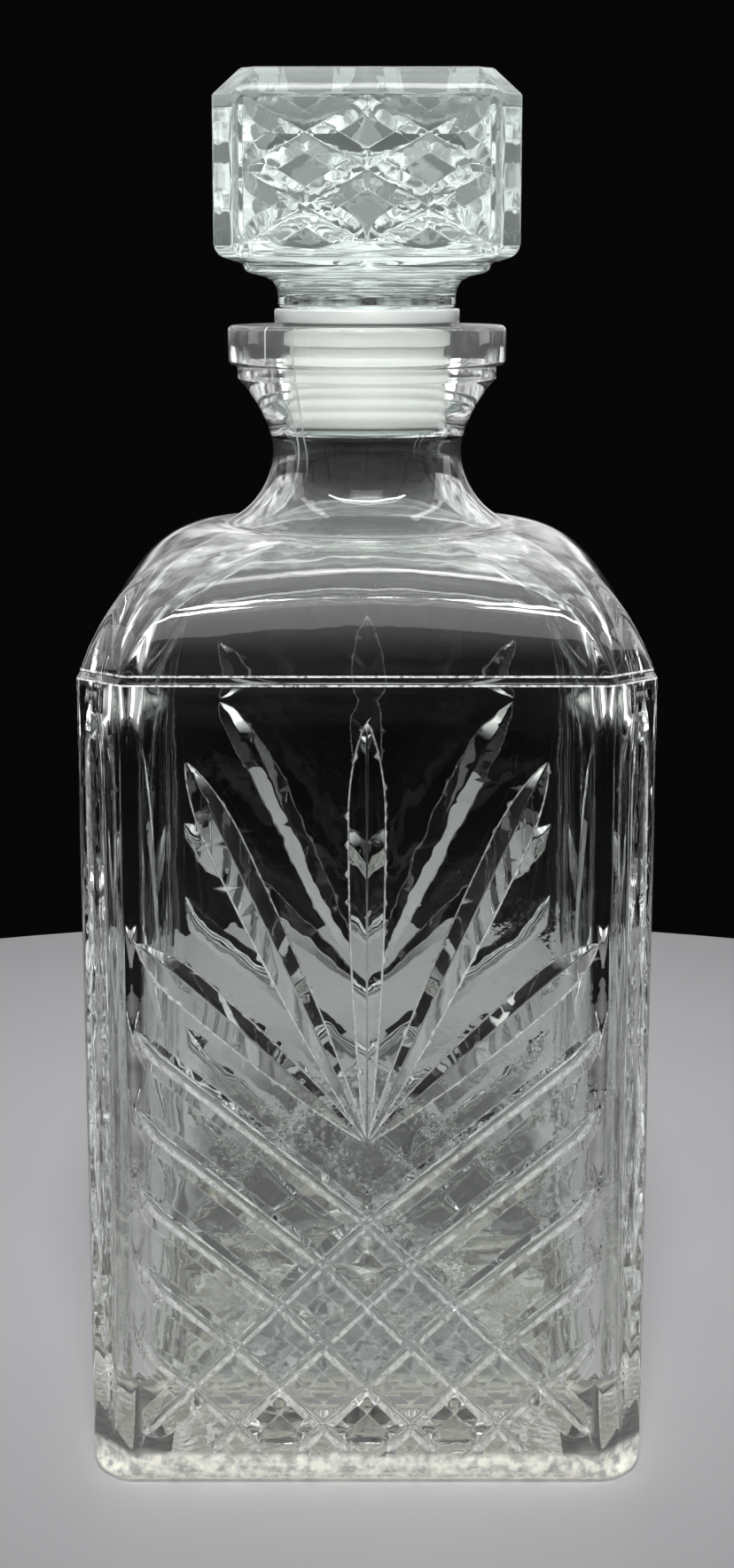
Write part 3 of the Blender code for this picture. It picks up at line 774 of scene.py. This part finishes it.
class Glass(Graph):
    """Clear pressed glass with a ripple. Frost is its share of scattered light.

    The colour given after tint takes over where second_colour's value is 1: a cream tint on the
    frosted foot, and painted shade in the stopper's neck. Frost rises to haze between the two
    heights haze_z.
    """

    def __init__(self, name, tint, second_tint_and_shade, ripple, haze, haze_z):
        super().__init__(name)
        self.x, self.y, self.z = self.axes()
        walls = self.nodes.new("ShaderNodeAttribute")
        walls.attribute_name = "cut_wall"
        grit = self.ramp(self.grains(1.1), 0.35, 0.6, 0.2, 0.6)
        self.frost = self.product(walls.outputs["Fac"], grit)
        self.add_frost(self.length_ramp(self.z, *haze_z, 0.0, haze))
        self.height = self.product(self.grains(12.0), ripple * MM)
        colour = self.nodes.new("ShaderNodeMix")
        colour.data_type = "RGBA"
        colour.inputs["A"].default_value = (*tint, 1.0)
        colour.inputs["B"].default_value = (*second_tint_and_shade, 1.0)
        self.second_colour = colour.inputs["Factor"]
        self.feed("Base Color", colour.outputs["Result"])

    def add_frost(self, share):
        """Frost wherever share is more than the frost so far."""
        self.frost = self.calc("MAXIMUM", self.frost, share)

    def add_height(self, height):
        """Relief in metres on top of the relief so far."""
        self.height = self.calc("ADD", self.height, height)

    def finish(self, shadow):
        """Link the frost and the height. shadow is the light that its shadow lets through."""
        shader = self.nodes["Principled BSDF"]
        shader.inputs["IOR"].default_value = 1.52
        self.feed("Transmission Weight", self.calc("SUBTRACT", 1.0, self.frost))
        self.feed("Normal", self.bump(self.height))
        self.feed("Roughness", self.ramp(self.grains(16.0, 4.0), 0.45, 0.75, 0.0, 0.03))
        path = self.nodes.new("ShaderNodeLightPath")
        clear = self.nodes.new("ShaderNodeBsdfTransparent")
        self.links.new(self.length_ramp(self.z, 172.0, 182.0, shadow, CLEAR_SHADOW), clear.inputs["Color"])
        mix = self.nodes.new("ShaderNodeMixShader")
        self.links.new(path.outputs["Is Shadow Ray"], mix.inputs["Fac"])
        self.links.new(shader.outputs["BSDF"], mix.inputs[1])
        self.links.new(clear.outputs["BSDF"], mix.inputs[2])
        self.links.new(mix.outputs["Shader"], self.nodes["Material Output"].inputs["Surface"])
        return self.material


def inside_relief(glass, inside, aside):
    """Waves, folds and mottle of the inner wall, with bright scatter low down behind the lattice."""
    wave = glass.product(glass.grains(9.0), 0.07 * MM)
    near_corner = glass.product(glass.length_ramp(aside, 20.0, 34.0),
                                glass.length_ramp(glass.z, 55.0, 85.0, 1.0, 0.0))
    folds = glass.product(glass.grains(5.0, 1.0), 0.22 * MM)
    wave = glass.calc("ADD", wave, glass.product(folds, near_corner))
    patches = glass.ramp(glass.grains(16.0), 0.52, 0.62)
    low_part = glass.product(glass.length_ramp(glass.z, 50.0, 85.0, 1.0, 0.0),
                             glass.length_ramp(glass.z, 18.0, 30.0))
    mottle = glass.product(glass.grains(1.6), 0.14 * MM, patches, low_part)
    glass.add_height(glass.product(glass.calc("ADD", wave, mottle), inside))
    scatter = glass.ramp(glass.grains(1.0, 3.0), 0.5, 0.62, 0.0, 0.55)
    low_inside = glass.product(low_part, inside)
    glass.add_frost(glass.product(glass.product(scatter, patches), low_inside))


def shoulder_cloud(glass):
    """A faint cloud in the upper shoulder."""
    cloud = glass.length_ramp(glass.z, 143.0, 156.0, 0.0, 0.08)
    glass.add_frost(glass.product(cloud, glass.length_ramp(glass.z, 161.0, 169.0, 1.0, 0.0)))


def frosted_foot(glass, outside, reach):
    """The stippled rim of the underside and the speckled band round the foot, both tinted."""
    under = glass.product(glass.length_ramp(glass.z, 1.1, 2.0, 1.0, 0.0),
                          glass.length_ramp(reach, FOOT_INSIDE, FOOT_INSIDE + 2.0))
    stipple = glass.grains(2.2)
    glass.add_height(glass.product(stipple, 0.35 * MM, under))
    glass.add_frost(glass.product(glass.ramp(stipple, 0.35, 0.6, 0.35, 0.95), under))
    edge = glass.calc("ADD", glass.z, glass.product(glass.grains(5.0), 2.4 * MM))
    speckle = glass.ramp(glass.grains(1.8, 4.0), 0.38, 0.62, 0.25, 1.0)
    band = glass.product(glass.length_ramp(edge, 6.4, 7.6, 1.0, 0.0), outside, speckle)
    glass.add_frost(band)
    glass.links.new(glass.calc("MAXIMUM", band, under), glass.second_colour)


def ledge_and_seam(glass, outside):
    """Beaded lines along the ledge above the flats, and the mould seam up the neck."""
    beads = glass.ramp(glass.grains(0.8), 0.35, 0.55, 0.25, 0.85)
    ledge = glass.calc("MAXIMUM", glass.line_at(glass.z, PANEL_TOP, 0.2),
                       glass.line_at(glass.z, SHOULDER_FOOT[1], 0.2))
    seam = glass.line_at(glass.calc("SUBTRACT", glass.x, glass.y), 0.0, 0.35)
    seam = glass.product(seam, glass.length_ramp(glass.z, 168.0, 176.0, 0.0, 0.8))
    glass.add_frost(glass.calc("MAXIMUM", glass.product(ledge, beads, outside), seam))


def bottle_material():
    """Clear glass with an uneven inner wall, a frosted foot, beaded ledge lines and a mould seam."""
    glass = Glass("bottle_glass", BOTTLE_TINT, FOOT_TINT, 0.12, 0.08, (178.0, 188.0))
    across = [glass.calc("ABSOLUTE", value) for value in (glass.x, glass.y)]
    reach = glass.calc("MAXIMUM", *across)
    inside = glass.length_ramp(reach, INSIDE_HALF + 0.3, INSIDE_HALF + 1.0, 1.0, 0.0)
    outside = glass.calc("SUBTRACT", 1.0, inside)
    shoulder_cloud(glass)
    inside_relief(glass, inside, glass.calc("MINIMUM", *across))
    frosted_foot(glass, outside, reach)
    ledge_and_seam(glass, outside)
    return glass.finish(BOTTLE_SHADOW)


def stopper_material():
    """Slightly milky glass with painted shade in the neck: the base colour turns dark there, standing in
    for the dark room that the neck shows.
    """
    glass = Glass("stopper_glass", STOPPER_TINT, STOPPER_NECK_SHADE, 0.08, 0.17, (200.0, 208.0))
    # Painted shade: the band of the neck between these heights takes the dark second colour.
    neck = glass.product(glass.length_ramp(glass.z, 197.5, 198.5),
                         glass.length_ramp(glass.z, 202.5, 204.5, 1.0, 0.0))
    glass.links.new(neck, glass.second_colour)
    return glass.finish(STOPPER_SHADOW)


def seal_material():
    """Milky soft plastic with faint moulding marks."""
    graph = Graph("seal_plastic")
    shader = graph.nodes["Principled BSDF"]
    shader.inputs["Subsurface Weight"].default_value = 0.35
    shader.inputs["Subsurface Radius"].default_value = (0.9, 0.9, 0.9)
    shader.inputs["Subsurface Scale"].default_value = 1.5 * MM
    shader.inputs["Roughness"].default_value = 0.38
    graph.feed("Base Color", graph.tone(graph.noise(120.0), (0.80, 0.83, 0.80), (0.92, 0.94, 0.91)))
    graph.feed("Normal", graph.bump(graph.noise(900.0), 0.03 * MM))
    return graph.material


def flange_material():
    """The same plastic where it is thin enough to see through."""
    graph = Graph("clear_flange")
    shader = graph.nodes["Principled BSDF"]
    shader.inputs["Base Color"].default_value = (0.90, 0.94, 0.91, 1.0)
    shader.inputs["Transmission Weight"].default_value = 0.6
    shader.inputs["IOR"].default_value = 1.5
    graph.feed("Roughness", graph.ramp(graph.grains(2.0), 0.3, 0.7, 0.06, 0.22))
    return graph.material


def table_material():
    """Pale matt table top with a very faint mottle."""
    graph = Graph("table_top")
    graph.nodes["Principled BSDF"].inputs["Roughness"].default_value = 0.55
    graph.feed("Base Color", graph.tone(graph.noise(14.0, 6.0), (0.60, 0.59, 0.61), (0.66, 0.65, 0.67)))
    return graph.material


# ---------------------------------------------------------------- table, light and camera

TABLE_RADIUS, TABLE_THICKNESS, TABLE_EDGE = 0.335, 0.03, 0.004
TABLE_STEPS = 160


def make_table():
    """A round table top whose upper face is the surface that the decanter stands on."""
    rims = ((TABLE_RADIUS - TABLE_EDGE, 0.0), (TABLE_RADIUS, -TABLE_EDGE), (TABLE_RADIUS, -TABLE_THICKNESS))
    turns = [2 * math.pi * i / TABLE_STEPS for i in range(TABLE_STEPS)]
    points = [(0.0, 0.0, 0.0)]
    points += [(r * math.cos(a), r * math.sin(a), z) for r, z in rims for a in turns]
    points.append((0.0, 0.0, -TABLE_THICKNESS))
    last = len(points) - 1
    faces = []
    for i in range(TABLE_STEPS):
        j = (i + 1) % TABLE_STEPS
        faces.append((0, 1 + i, 1 + j))
        for ring in range(len(rims) - 1):
            a = 1 + ring * TABLE_STEPS
            b = a + TABLE_STEPS
            faces.append((a + i, b + i, b + j, a + j))
        faces.append((last, last - TABLE_STEPS + j, last - TABLE_STEPS + i))
    mesh = bpy.data.meshes.new("table_top")
    mesh.from_pydata(points, [], faces)
    mesh.materials.append(table_material())
    table = bpy.data.objects.new("table_top", mesh)
    bpy.context.scene.collection.objects.link(table)
    return table


def area_light(name, place, aim, size, radiance, only, spread=180.0, seen=True):
    """A rectangular soft light of the given width and height that lights one collection only.

    Clear glass neither mirrors nor shows a light that is not seen: it lights matt faces alone.
    """
    light = bpy.data.lights.new(name, "AREA")
    light.shape = "RECTANGLE"
    light.size, light.size_y = size
    light.energy = radiance * math.pi * size[0] * size[1]
    light.spread = math.radians(spread)
    obj = bpy.data.objects.new(name, light)
    obj.location = place
    obj.rotation_mode = "QUATERNION"
    obj.rotation_quaternion = (Vector(aim) - Vector(place)).to_track_quat("-Z", "Y")
    obj.visible_camera = False
    obj.visible_glossy = seen
    obj.visible_transmission = seen
    obj.light_linking.receiver_collection = only
    bpy.context.scene.collection.objects.link(obj)


def collection(name, objects):
    """A group of objects that a light can be told to shine on."""
    group = bpy.data.collections.new(name)
    for obj in objects:
        group.objects.link(obj)
    return group


DOME_RADIUS = 3.0
DOME_ROWS, DOME_COLUMNS = 24, 48
DOME_GLOW = 0.003              # the least light that comes from any side


def dome_material():
    """Soft light from all round above the table's level, brighter overhead and slightly uneven."""
    graph = Graph("dome_light")
    graph.nodes.remove(graph.nodes["Principled BSDF"])
    x, y, z = graph.axes()
    wall = graph.product(graph.ramp(z, 0.09, 0.30), graph.ramp(y, -1.6, 0.6, 0.1, 1.0),
                         graph.ramp(graph.calc("ABSOLUTE", x), 0.7, 2.2, 1.0, 0.45))
    uneven = graph.ramp(graph.grains(400.0), 0.35, 0.65, 0.15, 1.6)
    above = graph.ramp(z, 0.8, 2.6, 0.0, 0.12)
    level = graph.calc("ADD", graph.product(wall, uneven), above)
    glow = graph.nodes.new("ShaderNodeEmission")
    graph.links.new(graph.calc("ADD", level, DOME_GLOW), glow.inputs["Strength"])
    graph.links.new(glow.outputs["Emission"], graph.nodes["Material Output"].inputs["Surface"])
    return graph.material


def make_dome(glassware):
    """A light dome that only the glassware sees, so that the room behind it stays dark."""
    points = [(0, 0, -DOME_RADIUS)]
    for row in range(1, DOME_ROWS):
        rise = math.pi * (row / DOME_ROWS - 0.5)
        for column in range(DOME_COLUMNS):
            turn = 2 * math.pi * column / DOME_COLUMNS
            points.append((DOME_RADIUS * math.cos(rise) * math.cos(turn),
                           DOME_RADIUS * math.cos(rise) * math.sin(turn), DOME_RADIUS * math.sin(rise)))
    points.append((0, 0, DOME_RADIUS))
    top = len(points) - 1
    faces = []
    for i in range(DOME_COLUMNS):
        j = (i + 1) % DOME_COLUMNS
        faces.append((0, 1 + i, 1 + j))
        for row in range(DOME_ROWS - 2):
            low = 1 + row * DOME_COLUMNS
            high = low + DOME_COLUMNS
            faces.append((low + i, high + i, high + j, low + j))
        faces.append((top - DOME_COLUMNS + i, top, top - DOME_COLUMNS + j))
    mesh = bpy.data.meshes.new("light_dome")
    mesh.from_pydata(points, [], faces)
    mesh.shade_smooth()
    mesh.materials.append(dome_material())
    dome = bpy.data.objects.new("light_dome", mesh)
    dome.visible_camera = False
    dome.visible_shadow = False
    dome.light_linking.receiver_collection = glassware
    bpy.context.scene.collection.objects.link(dome)


def make_lights(glassware, matt_things, seal_only):
    """Studio lights in a dark room. Each has its place, aim, size, radiance and what it lights."""
    middle = (0, 0, 0.1)
    area_light("key", (0.0, -0.75, 1.0), (0, 0.2, 0), (0.22, 0.22), 5.2, matt_things, spread=36.0)
    area_light("seal_fill", (0.0, -0.8, 0.4), (0, 0, 0.19), (0.4, 0.3), 5.5, seal_only)
    area_light("matt_fill", (0.0, -0.8, 0.45), middle, (0.5, 0.3), 8.0, glassware, seen=False)
    area_light("tube_top", (0.0, -0.5, 1.05), (0, 0, 0.05), (1.3, 0.04), 40.0, glassware)
    area_light("ceiling", (0.0, -1.1, 1.6), (0, 0, 0.15), (0.9, 0.5), 1.6, glassware)
    area_light("tube_left", (-0.4, 0.0, 1.25), (-0.1, 0, 0.1), (0.1, 1.3), 4.0, glassware)
    area_light("tube_right", (0.45, 0.1, 1.25), (0.1, 0, 0.1), (0.1, 1.3), 4.0, glassware)
    area_light("window_left", (-1.0, 0.3, 0.5), middle, (0.3, 0.7), 1.4, glassware)
    area_light("window_right", (1.0, 0.4, 0.5), middle, (0.3, 0.7), 1.8, glassware)
    make_dome(glassware)
    world = bpy.data.worlds.new("dark_room")
    world.use_nodes = True
    world.node_tree.nodes["Background"].inputs["Color"].default_value = (0.002, 0.002, 0.002, 1)
    bpy.context.scene.world = world
    bpy.context.scene.view_settings.view_transform = "Standard"


CAMERA_DISTANCE = 0.4423
CAMERA_HEIGHT = 0.2042
CAMERA_TILT = 11.634           # degrees below the horizon
LENS, SENSOR = 57.35, 36.0     # mm
BOUNCES, GLOSSY_BOUNCES = 24, 8


def make_camera():
    """The photograph's view, fitted to the decanter's outline."""
    data = bpy.data.cameras.new("camera")
    data.lens = LENS
    data.sensor_width = SENSOR
    data.clip_start, data.clip_end = 0.01, 50.0
    camera = bpy.data.objects.new("camera", data)
    camera.location = (0.0, -CAMERA_DISTANCE, CAMERA_HEIGHT)
    camera.rotation_euler = (math.radians(90 - CAMERA_TILT), 0, 0)
    bpy.context.scene.collection.objects.link(camera)
    bpy.context.scene.camera = camera


def light_paths():
    """Enough bounces for light to pass through all the walls of the glass."""
    cycles = bpy.context.scene.cycles
    cycles.max_bounces = BOUNCES
    cycles.transmission_bounces = BOUNCES
    cycles.glossy_bounces = GLOSSY_BOUNCES
    cycles.transparent_max_bounces = BOUNCES
    cycles.caustics_refractive = False
    cycles.caustics_reflective = False


def main():
    make_camera()
    table = make_table()
    light_paths()
    bottle = make_bottle(bottle_material())
    stopper = make_stopper(stopper_material())
    seal = make_seal(seal_material(), flange_material())
    for piece, node, body, slot in ((bottle, "bottle", "bottle", "bottle_glass"),
                                    (stopper, "stopper", "stopper", "stopper_glass"),
                                    (seal, "stopper_seal", "seal", "seal_plastic")):
        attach(piece, body)
        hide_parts(node)
    make_lights(collection("glassware", (bottle, stopper, seal)),
                collection("matt_things", (table, seal)), collection("seal_only", (seal,)))


main()
